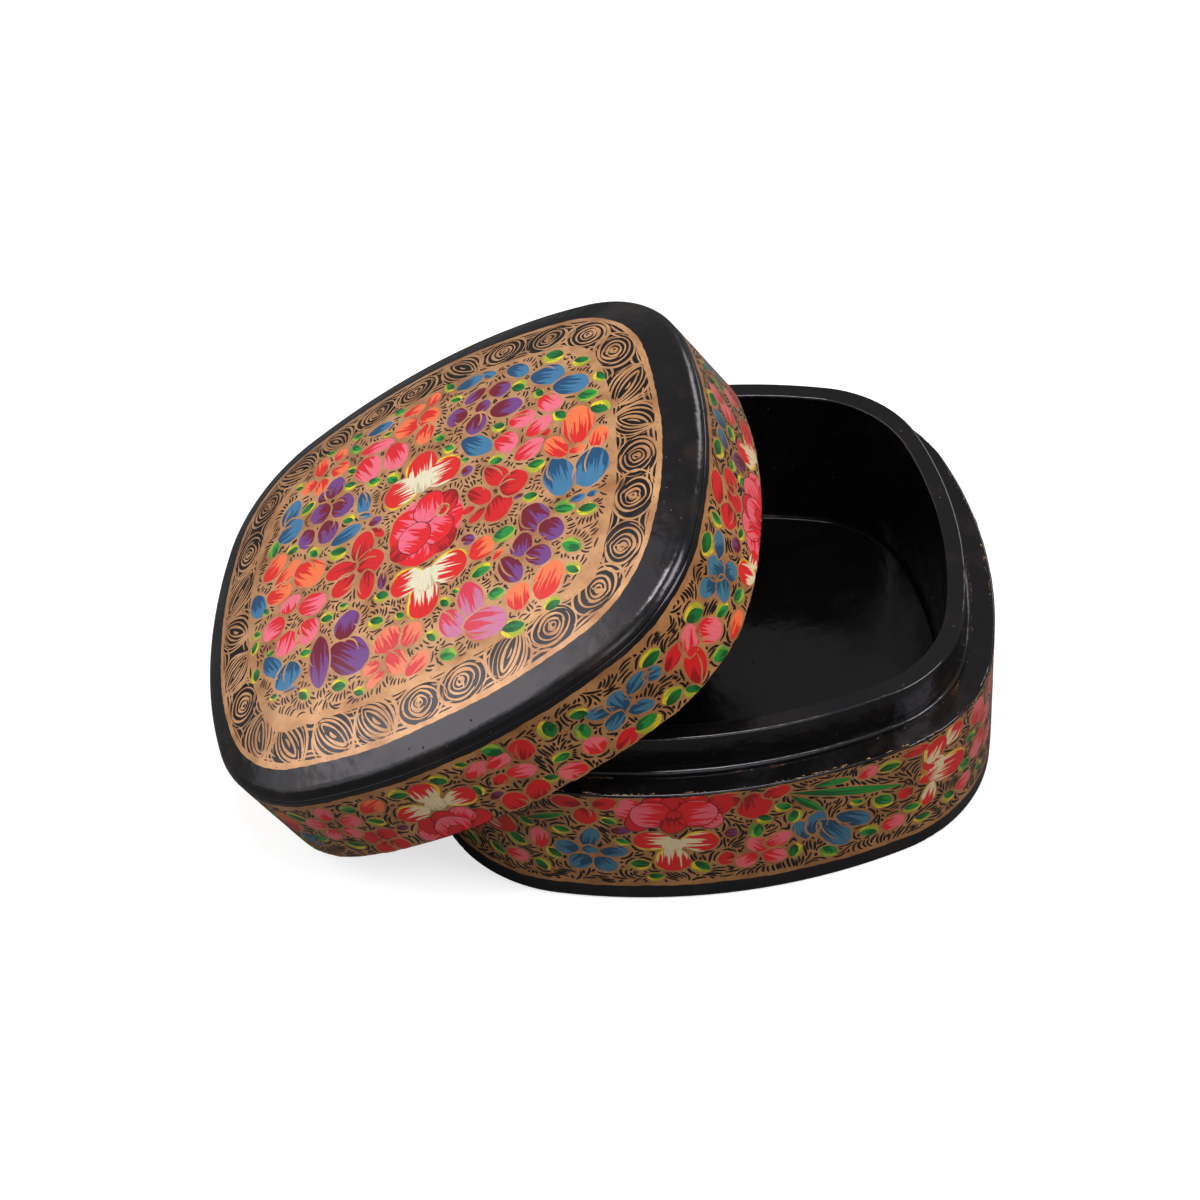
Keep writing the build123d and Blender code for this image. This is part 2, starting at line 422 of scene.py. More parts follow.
STROKE_SPREAD = (0.84, 1.16)     # its least and most width, as a share of the usual one


def swirl(u, v):
    """Slow pattern that makes the kinds of stroke change from place to place."""
    return np.sin(0.55 * u + 1.7 * np.sin(0.31 * v)) + np.sin(0.6 * v + 1.3 * np.sin(0.43 * u))


def hatch(canvas, blocked, passes, width):
    """Covers the ground between flowers with short tapered black strokes."""
    cell = canvas.cell
    gap = canvas.distance()
    free = (gap > HATCH_EDGE) & ~blocked
    rise_v, rise_u = np.gradient(gap, cell)
    busy = blocked.copy()
    spread = int(HATCH_GAP / cell) + 1
    grid = np.arange(-spread, spread + 1)
    disc = np.array([(a, b) for a in grid for b in grid if math.hypot(a, b) * cell <= HATCH_GAP])
    rows, columns = np.nonzero(free)
    cell_u, cell_v = canvas.u0 + (columns + 0.5) * cell, canvas.v0 + (rows + 0.5) * cell
    cell_gap = gap[rows, columns]
    pattern = swirl(cell_u, cell_v)
    for kind, level, half, least in passes:
        if kind == "flow":
            near = ~busy[rows, columns] & ((rows + columns) % 2 == 0) & (cell_gap < HATCH_FAR)
        else:
            near = np.abs(cell_gap - level) < cell * 0.6
        pick = np.nonzero(near & (pattern > least))[0]
        jitter = canvas.rng.uniform(0, 0.3, len(pick))
        pick = pick[np.argsort(cell_u[pick] + 0.8 * cell_v[pick] + jitter)]
        trail = trace(canvas, (gap, rise_u, rise_v), cell_u[pick], cell_v[pick], kind, level, half)
        lay_strokes(canvas, trail, free, busy, disc, width)


def trace(canvas, fields, u, v, kind, level, half):
    """Middle lines of strokes through (u, v): echoes of a flower's outline, combs away from it, or flows."""
    gap, rise_u, rise_v = fields
    lean = 0.15 + 0.55 * np.sin(u * 0.21 + v * 0.17)
    step = canvas.rng.uniform(*STROKE_STEP, len(u))
    paths = []
    for way in (-1, 1):
        pu, pv = u, v
        side = []
        for count in range(half):
            gu, gv = canvas.read(rise_u, pu, pv), canvas.read(rise_v, pu, pv)
            size = np.hypot(gu, gv) + 1e-6
            gu, gv = gu / size, gv / size
            if kind == "echo":
                off = np.clip(level - canvas.read(gap, pu, pv), -0.12, 0.12)
                pu, pv = pu - way * gv * step + gu * off, pv + way * gu * step + gv * off
            elif kind == "flow":
                turn = 1.8 * np.sin(0.34 * pu + 1.3 * np.sin(0.27 * pv + 1))
                turn += 1.6 * np.sin(0.37 * pv + 1.2 * np.sin(0.31 * pu + 2))
                pu, pv = pu + way * step * np.cos(turn), pv + way * step * np.sin(turn)
            else:
                bend = lean + 0.12 * way * count
                reach_out = way * step * 0.75
                pu, pv = pu + reach_out * (gu - bend * gv), pv + reach_out * (gv + bend * gu)
            side.append((pu, pv))
        paths.append(side)
    line = paths[0][::-1] + [(u, v)] + paths[1]
    return np.array(line).transpose(2, 0, 1)


def lay_strokes(canvas, trail, free, busy, disc, width):
    """Draws each stroke whose middle line meets neither a flower nor another stroke."""
    tests = np.concatenate([trail, 0.5 * (trail[:, :-1] + trail[:, 1:])], 1)
    row, column = canvas.cells(tests[..., 0], tests[..., 1])
    within = (tests[..., 1] > canvas.v0 + HATCH_END) & (tests[..., 1] < canvas.v1 - HATCH_END)
    inside = (free[row, column] & within).all(1)
    for k in np.nonzero(inside)[0]:
        if busy[row[k], column[k]].any():
            continue
        busy[canvas.on_map(row[k][:, None] + disc[:, 0], column[k][:, None] + disc[:, 1])] = True
        ribbon(canvas.strokes, trail[k, :, 0], trail[k, :, 1], width * canvas.rng.uniform(*STROKE_SPREAD),
               STROKE_LIFT, taper=True, point=0.4)


# ------------------------------------------------------------------ materials

def node(tree, kind, place, inputs=None, **settings):
    """A shader node with its settings; an input is a plain value or another node's output."""
    made = tree.nodes.new("ShaderNode" + kind)
    made.location = place
    for key, value in settings.items():
        setattr(made, key, value)
    plug(tree, made, inputs or {})
    return made


def plug(tree, made, inputs):
    """Sets a node's inputs, each to a plain value or to another node's output."""
    for key, value in inputs.items():
        if isinstance(value, bpy.types.NodeSocket):
            tree.links.new(value, made.inputs[key])
        else:
            made.inputs[key].default_value = value


def maths(tree, place, operation, *terms):
    """Output of a Math node."""
    return node(tree, "Math", place, dict(enumerate(terms)), operation=operation).outputs[0]


def noise(tree, place, vector, scale, detail, roughness=0.5):
    """Output of a noise texture."""
    inputs = {"Vector": vector, "Scale": scale, "Detail": detail, "Roughness": roughness}
    return node(tree, "TexNoise", place, inputs).outputs["Fac"]


def ranged(tree, place, value, low, high, to_low=0.0, to_high=1.0, kind="LINEAR"):
    """Output of a Map Range node."""
    inputs = {"Value": value, "From Min": low, "From Max": high, "To Min": to_low, "To Max": to_high}
    return node(tree, "MapRange", place, inputs, interpolation_type=kind).outputs["Result"]


def ramp(tree, place, value, *stops):
    """Output of a colour ramp, from positions and 8-bit colours."""
    made = node(tree, "ValToRGB", place, {"Fac": value})
    elements = made.color_ramp.elements
    for k, (position, tone) in enumerate(stops):
        stop = elements[k] if k < 2 else elements.new(position)
        stop.position, stop.color = position, (*srgb(*tone), 1)
    return made.outputs["Color"]


def object_place(tree, place):
    """Output of a Texture Coordinate node that stays with the object."""
    return node(tree, "TexCoord", place).outputs["Object"]


def new_group(name, ins, outs):
    """A node group with float inputs, given with their defaults, and outputs, with their types."""
    tree = bpy.data.node_groups.new(name, "ShaderNodeTree")
    for label, default in ins.items():
        socket = tree.interface.new_socket(name=label, in_out="INPUT", socket_type="NodeSocketFloat")
        socket.default_value = default
    for label, kind in outs.items():
        tree.interface.new_socket(name=label, in_out="OUTPUT", socket_type=kind)
    into, out = tree.nodes.new("NodeGroupInput"), tree.nodes.new("NodeGroupOutput")
    into.location, out.location = (-900, 0), (600, 0)
    return tree, into.outputs, out


def lacquer_group():
    """Clear gloss lacquer by hand: shallow waves, dust nibs and dull smudges."""
    tree, into, out = new_group("hand_lacquer", {"Wave Depth": 0.3, "Gloss Roughness": 0.1, "Smudge": 0.12},
                                {"Normal": "NodeSocketVector", "Roughness": "NodeSocketFloat"})
    place = object_place(tree, (-900, -300))
    waves = noise(tree, (-650, 0), place, 120.0, 2.0)
    ripples = noise(tree, (-650, -260), place, 520.0, 1.0)
    nibs = node(tree, "TexVoronoi", (-650, -520), {"Vector": place, "Scale": 420.0, "Randomness": 1.0})
    nib = ranged(tree, (-420, -520), nibs.outputs["Distance"], 0.0, 0.09, 1.0, 0.0)
    cloud = noise(tree, (-650, 260), place, 60.0, 4.0, 0.62)
    blend = maths(tree, (-420, -130), "MULTIPLY_ADD", ripples, 0.25, waves)
    height = maths(tree, (-220, -200), "MULTIPLY_ADD", nib, 0.35, blend)
    bump = node(tree, "Bump", (250, -100),
                {"Height": height, "Distance": 0.00025, "Strength": into["Wave Depth"]})
    dull = ranged(tree, (-420, 260), cloud, 0.5, 0.75)
    smudges = maths(tree, (-200, 260), "MULTIPLY", dull, into["Smudge"])
    rough = maths(tree, (0, 260), "ADD", smudges, into["Gloss Roughness"])
    plug(tree, out, {"Normal": bump.outputs["Normal"], "Roughness": rough})
    return tree


def bristle_group():
    """Marks of a fine brush: where the second colour's hairs end, and streaks along them."""
    tree, into, out = new_group("brush_bristles", {"Reach": 0.5, "Seed": 0.0},
                                {"Ground Mask": "NodeSocketFloat", "Streak": "NodeSocketFloat"})
    brush = node(tree, "UVMap", (-1100, 200), uv_map="brush").outputs["UV"]
    along, across, _ = node(tree, "SeparateXYZ", (-900, 200), {0: brush}).outputs
    slow = maths(tree, (-700, 60), "MULTIPLY", along, 0.3)
    offset = maths(tree, (-700, -120), "MULTIPLY", into["Seed"], 57.0)
    comb = node(tree, "CombineXYZ", (-500, 0), {"X": slow, "Y": across, "Z": offset}).outputs[0]
    teeth = noise(tree, (-300, 0), comb, 2.0, 1.5, 0.55)
    jag = maths(tree, (-100, 0), "MULTIPLY_ADD", teeth, 1.9, -0.95)
    front = maths(tree, (80, 60), "SUBTRACT", along, into["Reach"])
    edge = maths(tree, (240, 60), "ADD", front, jag)
    mask = ranged(tree, (400, 60), edge, -0.06, 0.06, kind="SMOOTHSTEP")
    hairs = noise(tree, (-300, -260), comb, 5.5, 2.0)
    plug(tree, out, {"Ground Mask": mask, "Streak": hairs})
    return tree


LACQUER, BRISTLES = lacquer_group(), bristle_group()


def material(name):
    """New material with one Principled shader; returns it, its tree and the shader."""
    made = bpy.data.materials.new(name)
    made.use_nodes = True
    tree = made.node_tree
    return made, tree, tree.nodes["Principled BSDF"]


def add_lacquer(tree, shader, depth, gloss, smudge):
    """Waves and gloss of the lacquer on a material's shader."""
    values = {"Wave Depth": depth, "Gloss Roughness": gloss, "Smudge": smudge}
    skin = node(tree, "Group", (-300, -300), values, node_tree=LACQUER).outputs
    plug(tree, shader, {"Normal": skin["Normal"], "Roughness": skin["Roughness"]})


def black_lacquer(name, depth, gloss, smudge, thin_tone=(34, 24, 20), bare_tone=(70, 42, 24),
                  deep_tone=(9, 8, 9)):
    """Near-black lacquer with a faint violet gloss, a little browner where it is thin."""
    made, tree, shader = material(name)
    shader.inputs["IOR"].default_value = 1.5
    shader.inputs["Specular Tint"].default_value = (0.97, 0.92, 1.0, 1)
    thin = noise(tree, (-700, 200), object_place(tree, (-900, 200)), 95.0, 5.0, 0.65)
    tone = ramp(tree, (-480, 200), thin, (0.52, deep_tone), (0.68, thin_tone), (0.9, bare_tone))
    plug(tree, shader, {"Base Color": tone})
    add_lacquer(tree, shader, depth, gloss, smudge)
    return made


def coated_paint(name, coat_roughness):
    """Start of a paint that lies under clear lacquer."""
    made, tree, shader = material(name)
    shader.inputs["Coat Weight"].default_value = 0.6
    shader.inputs["Specular IOR Level"].default_value = 0.15
    shader.inputs["Coat Roughness"].default_value = coat_roughness
    return made, tree, shader


def gold_paint(name, low_tone, high_tone):
    """Bronze-gold paint: brushed on unevenly, half metallic under the lacquer."""
    made, tree, shader = coated_paint(name, 0.15)
    shader.inputs["Metallic"].default_value = 0.35
    place = object_place(tree, (-1100, 200))
    patch = noise(tree, (-850, 320), place, 160.0, 4.0, 0.6)
    grit = noise(tree, (-850, 80), place, 2600.0, 3.0, 0.7)
    tone = ramp(tree, (-600, 320), patch, (0.3, low_tone), (0.7, high_tone))
    worn = ranged(tree, (-600, 80), grit, 0.62, 0.7)
    mix = node(tree, "Mix", (-250, 250), {0: worn, 6: tone, 7: (*srgb(78, 44, 24), 1)}, data_type="RGBA")
    plug(tree, shader, {"Base Color": mix.outputs[2]})
    add_lacquer(tree, shader, 0.3, 0.42, 0.1)
    return made


def flower_paint(name, painted_shade_tint=(1.0, 1.0, 1.0)):
    """Two brush colours blended wet, one set of colours per petal, multiplied by a tint: on the walls' copy a
    darker, warmer one that is painted shade.
    """
    made, tree, shader = coated_paint(name, 0.12)
    ground = node(tree, "Attribute", (-900, 300), attribute_name="ground").outputs
    streak = node(tree, "Attribute", (-900, 100), attribute_name="streak").outputs
    marks = node(tree, "Group", (-600, 0), {"Reach": ground["Alpha"], "Seed": streak["Alpha"]},
                 node_tree=BRISTLES).outputs
    colours = {0: marks["Ground Mask"], 6: streak["Color"], 7: ground["Color"]}
    mix = node(tree, "Mix", (-350, 250), colours, data_type="RGBA")
    shade = ranged(tree, (-350, 0), marks["Streak"], 0.3, 0.7, 0.88, 1.08)
    # Painted shade: the tint darkens and warms the colours of the walls' copy.
    shaded_paint = node(tree, "VectorMath", (-230, 250), {0: mix.outputs[2], 1: painted_shade_tint}, operation="MULTIPLY")
    toned = node(tree, "VectorMath", (-120, 200), {0: shaded_paint.outputs["Vector"], "Scale": shade},
                 operation="SCALE")
    plug(tree, shader, {"Base Color": toned.outputs["Vector"]})
    add_lacquer(tree, shader, 0.3, 0.4, 0.1)
    return made


BLACK = black_lacquer("black_lacquer", depth=0.6, gloss=0.15, smudge=0.35)
BLACK_LID = black_lacquer("black_lacquer_lid", depth=1.1, gloss=0.2, smudge=0.3)
BLACK_FLOOR = black_lacquer("black_lacquer_floor", 0.4, 0.12, 0.12, (14, 12, 12), (22, 18, 16))
BLACK_FRAME = black_lacquer("black_lacquer_collar", 1.6, 0.2, 0.12, (20, 16, 15), (44, 30, 22))
GOLD = gold_paint("gold_ground", (162, 110, 68), (218, 166, 120))
# Painted shade: a darker, more saturated copy of the same gold paint, used on the walls only.
GOLD_SHADED_SIDES = gold_paint("gold_ground_shaded_sides", (148, 96, 54), (202, 142, 88))
FLOWER = flower_paint("flower_paint")
# Painted shade: the walls' copy of the flower paint is darker and warmer than the top's.
FLOWER_SHADED_SIDES = flower_paint("flower_paint_shaded_sides", (0.93, 0.80, 0.66))
STROKE = black_lacquer("black_strokes", depth=0.2, gloss=0.2, smudge=0.1)
# Painted light: a lighter, browner copy of the black strokes, used only on the lit top of the lid.
STROKE_LIT_TOP = black_lacquer("black_strokes_lit_top", 0.2, 0.2, 0.1, (64, 44, 34), (84, 56, 38), (46, 30, 24))

for name, finish in (("base_wall", BLACK), ("base_floor", BLACK_FLOOR), ("base_collar", BLACK_FRAME),
                     ("collar_bead", BLACK_FRAME), ("lid_wall", BLACK), ("lid_top", BLACK_LID)):
    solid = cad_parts[name]
    solid.data.materials.clear()
    solid.data.materials.append(finish)


# ------------------------------------------------------------------ gold grounds and border

def wobble(s, amount, *waves):
    """Uneven edge of a brushed band, closed round the box; waves are a count and a phase."""
    value = np.zeros_like(s)
    for k, (count, phase) in enumerate(waves):
        value += np.sin(2 * math.pi * count * s / PERIMETER + phase) / (1 + 0.3 * k)
    return amount * value


GROUND_EDGE = 0.07               # unevenness of the grounds' edges


def wall_ground(name, low, high, body):
    """Gold ground round a wall, with a plain line left along its black edge."""
    film = Film(on_wall)
    steps_round, steps_up = 461, 13
    s = np.linspace(0, PERIMETER, steps_round)
    rise = np.linspace(0, 1, steps_up)[:, None]
    bottom = low + wobble(s, GROUND_EDGE, (23, 0.4), (51, 2.1), (97, 1.0))
    top = high + wobble(s, GROUND_EDGE, (19, 1.4), (43, 0.3), (101, 2.0))
    film.grid(np.repeat(s[None], steps_up, 0), bottom + (top - bottom) * rise, GROUND_LIFT)
    # The walls' gold is the darker copy, with painted shade in its colour.
    film.build(name, GOLD_SHADED_SIDES, body, "painted_wall")


def field_ground():
    """Gold ground of the lid's middle, out to the border, and wider in three places."""
    film = Film(on_top)
    s = np.linspace(0, PERIMETER, 361)
    share = s / PERIMETER
    widen = sum(np.exp(-((share - at) / 0.03) ** 2) * more
                for at, more in ((0.875, 1.6), (0.63, 1.3), (0.12, 0.5)))
    edge = BORDER_IN - FIELD_LINE_W - widen + wobble(s, GROUND_EDGE, (9, 0.4), (37, 1.3), (83, 2.0))
    rim, normal = OUTLINE.at(s, 0.0)
    rim = rim - normal * edge[:, None] + BORDER_SHIFT
    t = np.concatenate([[0.01], np.linspace(0.06, 1, 26)])[:, None]
    film.grid(rim[:, 0] * t, rim[:, 1] * t, GROUND_LIFT)
    film.build("lid_top_gold_ground", GOLD, "lid", "painted_top")


# Sizes of an eye's rings, as shares of the room it has.
LEAF_RINGS, ROUND_RINGS = (1.85, 1.45, 1.07, 0.72, 0.38), (1.07, 0.83, 0.6, 0.38, 0.17)
EYE_POINTS = 30                  # along each stroke of a ring
# Heights of the border's lines.
SPRIG_LIFT, LINE_LIFT, RING_LIFT, SLIT_LIFT = (GROUND_LIFT + up for up in (0.003, 0.004, 0.006, 0.011))


def eye(film, rng, cs, cv, half_u, half_v):
    """Nested loose strokes that close round an upright slit: a round eye, or a leaf that leans."""
    leaf = rng.uniform() < 0.5
    turn = rng.uniform(0.5, 0.9) * (1 if rng.uniform() < 0.8 else -1) if leaf else rng.uniform(-0.5, 0.5)
    narrow = rng.uniform(0.35, 0.75)
    shift_u, shift_v = rng.uniform(-0.6, 0.6), rng.uniform(-0.3, 0.3)
    for ring, size in enumerate(LEAF_RINGS if leaf else ROUND_RINGS):
        inward = max(0, 1 - size)
        close = 1.0 if leaf else min(1, 1.9 * inward)
        wide = half_u * size * (0.56 if leaf else 1.04 - 0.25 * narrow * close)
        tall = half_v * (min(1.0, 0.45 + 0.55 * size) / math.cos(turn) if leaf else size)
        pinch = 0.5 if leaf else 0.75 * narrow * close
        c, n = math.cos(turn * close), math.sin(turn * close)
        start = rng.uniform(0, TURN)
        for _ in range(2):
            angle = start + np.linspace(0, math.pi * rng.uniform(1.0, 1.3), EYE_POINTS)
            start += math.pi * rng.uniform(0.93, 1.07)
            grow = np.linspace(1.05, 0.94, EYE_POINTS) * (1 + 0.04 * np.sin(2 * angle + rng.uniform(0, 6)))
            eu = np.cos(angle) * np.abs(np.cos(angle)) ** pinch * wide * grow
            ev = np.sin(angle) * tall * grow
            u = cs + shift_u * inward + eu * c - ev * n
            v = cv + np.clip(shift_v * inward + ev * c + eu * n, -half_v - 0.2, half_v + 0.2)
            thick = rng.uniform(0.36, 0.62) * (0.85 + 0.3 * np.sin(angle * 1.5 + cs))
            ribbon(film, u, v, thick, RING_LIFT + 0.001 * ring, taper=True)
    t = np.linspace(-1, 1, 9)
    slit = t * rng.uniform(0.8, 1.3)
    bow = 0.2 * (1 - t**2) * rng.choice((-1, 1))
    c, n = math.cos(turn + math.pi / 2), math.sin(turn + math.pi / 2)
    ribbon(film, cs + shift_u * 0.7 + slit * c - bow * n, cv + shift_v * 0.7 + slit * n + bow * c,
           rng.uniform(0.3, 0.55), SLIT_LIFT, taper=True)


def border(seed):
    """Black band of gold eyes round the field, with small sprigs where two eyes meet."""
    rng = np.random.default_rng(seed)
    film = Film(on_border)
    s = np.linspace(0, BORDER.perimeter, 700)
    line = BORDER_OUT + BORDER_LINE_W / 2 + 0.10 * np.sin(s * 0.17) + 0.03 * np.sin(s * 1.3 + 1)
    width = BORDER_LINE_W * (1 + 0.14 * np.sin(s * 0.31 + 2) + 0.06 * np.sin(s * 3.1))
    ribbon(film, s, line, width, LINE_LIFT)
    pitch = BORDER.perimeter / EYES
    overlap = 0.15
    half_v = (BORDER_IN - FIELD_LINE_W - BORDER_OUT - BORDER_LINE_W) / 2 + overlap
    centre = BORDER_OUT + BORDER_LINE_W + half_v - overlap
    for k in range(EYES):
        cs = (k + 0.5 + rng.uniform(-0.09, 0.09)) * pitch
        cv = centre + rng.uniform(-0.12, 0.12)
        eye(film, rng, cs, cv, pitch / 2 * rng.uniform(0.86, 1.0), half_v)
        for side, step in ((-1, 0), (-1, 1), (1, 0), (1, 1)):
            bend = np.linspace(-1, 1, 11)
            u = (k + 1) * pitch + bend * (2.3 - 0.65 * step) * rng.uniform(0.8, 1.1) + rng.uniform(-0.2, 0.2)
            sag = 0.5 * (1 - bend**2) * rng.uniform(0.5, 1.2)
            v = centre + side * (half_v * (1.0 - 0.26 * step) - 0.25 - sag)
            ribbon(film, u, v, rng.uniform(0.28, 0.45), SPRIG_LIFT, taper=True)
    film.build("lid_top_border", GOLD, "lid", "painted_top")


# Chips and stains: paint, how many, nearest and farthest inset, longest and widest.
LEDGE_MARKS = (
    ("chip", 320, 0.36, 0.62, 0.8, 0.17), ("gilt", 150, 0.36, 0.60, 1.6, 0.20),
    ("rust", 70, 0.4, 0.8, 1.8, 0.22), ("rust", 520, 3.60, 4.02, 1.8, 0.18),
    ("chip", 60, 3.60, 4.02, 0.6, 0.10),
)


def ledge_wear(seed):
    """Chips along the ledge's outer edge, and a rough brown line where the filler bead ends."""
    rng = np.random.default_rng(seed)
    film = Film(on_ledge)
    for paint, count, low, high, longest, widest in LEDGE_MARKS:
        busy = rng.uniform(0, TURN, 3)
        for _ in range(count):
            s = rng.uniform(0, PERIMETER)
            worn = np.sin(s * 0.19 + busy[0]) + np.sin(s * 0.047 + busy[1]) + np.sin(s * 0.83 + busy[2])
            if worn + rng.uniform(-0.8, 0.8) < 0.5:
                continue
            length = rng.uniform(0.15, 1) * longest
            u = s + np.linspace(-0.5, 0.5, 5) * length
            v = rng.uniform(low, high) + rng.uniform(-0.06, 0.06, 5)
            ribbon(film, u, v, rng.uniform(0.4, 1) * widest, GROUND_LIFT, taper=True, paint=paint)
    film.build("ledge_wear", FLOWER, "base", "painted_wall")


wall_ground("base_gold_ground", BASE_GOLD_LOW, BASE_GOLD_HIGH, "base")
wall_ground("lid_gold_ground", LID_GOLD_LOW, LID_GOLD_HIGH, "lid")
field_ground()
border(seed=11)
ledge_wear(seed=21)


# ------------------------------------------------------------------ flowers of the lid's top

# Petals by paint: middle x, y, then length, width and the way the petal points, in degrees.
TOP_PETALS = {
    "blue": (
        (7, 31.5, 5, 2.7, 0), (10.5, 31.3, 4, 2, -20), (16.9, 28.7, 5.2, 3, -40),
        (22.8, 24.2, 6.5, 4.3, -25), (27.3, 19.3, 6.5, 4.2, -25), (8.5, 15.5, 7.2, 3.8, -43),
        (24.6, -0.6, 8.2, 5.2, -78), (30.8, -1.8, 7.4, 6, -97), (28.2, -7.4, 3, 1.6, 0),
        (30.8, -7.8, 2, 1.4, 0), (-30.5, 21.3, 5, 3.6, 70), (-30.5, 17.3, 4.8, 4.4, 10),
        (-11.7, 31.2, 4.4, 2.2, 0), (-14.7, 15, 4.6, 2.6, -80), (-18.3, 9.5, 5.4, 2.8, 10),
        (-14.5, 11.8, 2.6, 1.4, -30), (-37, 3.3, 5, 3.2, -75), (-33.4, -12.3, 5.5, 3, -60),
        (-30.1, -15.9, 4.6, 4.8, -100), (-29.5, -19.2, 2.5, 1, 0),
    ),
    "violet": (
        (8.2, 27.5, 4.2, 2.6, -160), (13.2, 26.3, 4.2, 3.4, -20), (4.6, 24.4, 4, 3.8, 160),
        (9.8, 24, 3, 3, 0), (8.5, 20.6, 4.4, 4, -100), (14.5, 21.1, 6.2, 3.8, -15), (-21, 22.2, 4, 3.8, 60),
        (-23.9, 17.7, 3.8, 4, 180), (-19.3, 17, 4.4, 4.2, -30), (-26.8, 13.3, 3.2, 4, 200),
        (-22.3, 12.6, 4.4, 4, -80), (19.5, -7.2, 6.2, 5.4, -60), (17.1, -11.9, 4.6, 4.2, -100),
        (22.9, -11.4, 5.2, 4, -45), (14.9, -16.1, 6.4, 3.8, -60), (20.3, -15.8, 5, 3.8, -35),
        (-23.4, -16.3, 9, 3.6, -90), (-17.4, -18, 8.2, 6, -45), (-17.8, -11.2, 5, 4.4, 80),
        (6.6, 10.6, 2.4, 2.2, -40), (6.7, -5.2, 3, 2.2, -35), (-12.2, 9.3, 2.4, 2, 0),
        (16.8, -0.9, 1.2, 2, -90), (-22.3, -11, 1.6, 1.4, 0),
    ),
    "plum": ((-23.4, 21.4, 2.6, 2.4, 120), (-10.6, -5.2, 3.2, 1.8, -90), (25.6, -11.9, 1.8, 2.2, 0)),
    "pink": (
        (17.7, 16.5, 5, 3.6, -20), (23.1, 17.4, 5.2, 3.6, -50), (14.4, 12.7, 5, 4.2, -35),
        (21, 13, 5, 3.4, 20), (19, 8.7, 5.5, 3.8, 15), (-12, 26.9, 6, 2.6, -10),
        (-13.9, 22.7, 5.4, 4.6, -60), (-8.1, 22.5, 5.6, 4.4, -70), (-30.1, -0.1, 3.2, 4.4, 90),
        (-33.3, -3.8, 4.4, 4.2, 180), (-25.1, -2.6, 5.2, 4, -10), (-30.5, -8.5, 4.2, 4.4, -110),
        (-26, -8.2, 4.6, 4.2, -60),
    ),
    "mauve": ((7, -19, 8, 4.6, -80), (3.3, -21.8, 6.2, 4.2, -60), (9.7, -25, 7.5, 5.6, -20)),
    "orange": (
        (28.5, 9, 8, 5.3, 90), (24.3, 6.2, 6, 3.4, 125), (28.3, 3.6, 3, 2, 0), (32.4, 4.2, 4.2, 3.4, 80),
        (9.4, -8.6, 4.6, 4.6, 20), (12.5, -11.5, 2.6, 1.4, 40), (16.3, -22.7, 4.8, 4.4, 90),
        (22, -22, 6.6, 5, 60), (-33.6, 10.3, 5, 3.8, 30), (-30.9, 7.5, 5.6, 3, 30),
        (-32.4, 3.7, 5, 3.8, -20), (-26.1, 5, 6.2, 5, -50), (-4.5, 31.3, 4.4, 2.6, 0),
        (-5.9, 28, 4.4, 4, 160), (-1.4, 27.9, 4.2, 4.2, -30), (-2.1, 24.3, 4.4, 3.4, -100),
        (-0.5, 31.8, 3.2, 2.8, 60), (-24.1, 28.9, 3.8, 2.8, 90), (-20.1, 29.8, 2.6, 2.8, 50),
        (-20.1, 26.3, 3.4, 3, -20), (-26.7, 25.8, 3.2, 3, 170), (-24, 24.2, 3.4, 2.8, -90),
    ),
    "coral": (
        (-9.4, -18.9, 4.4, 5, 110), (-4.7, -20, 4.4, 4.2, 50), (-12.7, -23.2, 3, 2.8, 180),
        (-7.7, -24.4, 5, 3.4, -60), (-11.9, -26, 3.4, 2, 200), (-3.6, -26.8, 5, 3.2, 30),
    ),
    "red": (
        (12.4, 6.3, 5.5, 3.2, -55), (15.9, 2.7, 4.6, 4.4, -10), (12.8, -1.3, 4.6, 4.6, -80),
        (9.1, 3.4, 5, 2.8, -45), (8.6, -0.8, 3, 1.9, -150), (6.9, 1.3, 2.2, 1.5, 180),
        (-14.8, 4.9, 4.8, 3.6, 75), (-13.1, 0.5, 4.4, 4, -10), (-19.1, 1.7, 5, 2.8, 170),
        (-18.6, -1.9, 4, 3.2, 210), (-13.9, -4.3, 4.8, 2.8, -90), (-11.7, 6.5, 3, 1.5, -45),
        (22.2, 10.6, 1.8, 1.5, 0),
    ),
}
# White petals have a red tip at the end that they point to.
TOP_WHITE = (
    (-0.9, 13, 8.4, 6.2, 90), (-4.8, 10.2, 7.8, 5.8, 180), (2.9, 10.4, 8, 5.8, 0),
    (-3.8, -11.1, 6.8, 5.6, 178), (4.3, -11.9, 7.6, 6.2, -16), (-0.6, -15.9, 8.8, 6, -90),
)
TOP_HEARTS = ((-0.9, 10.3, 4.8), (0, -12.4, 5))
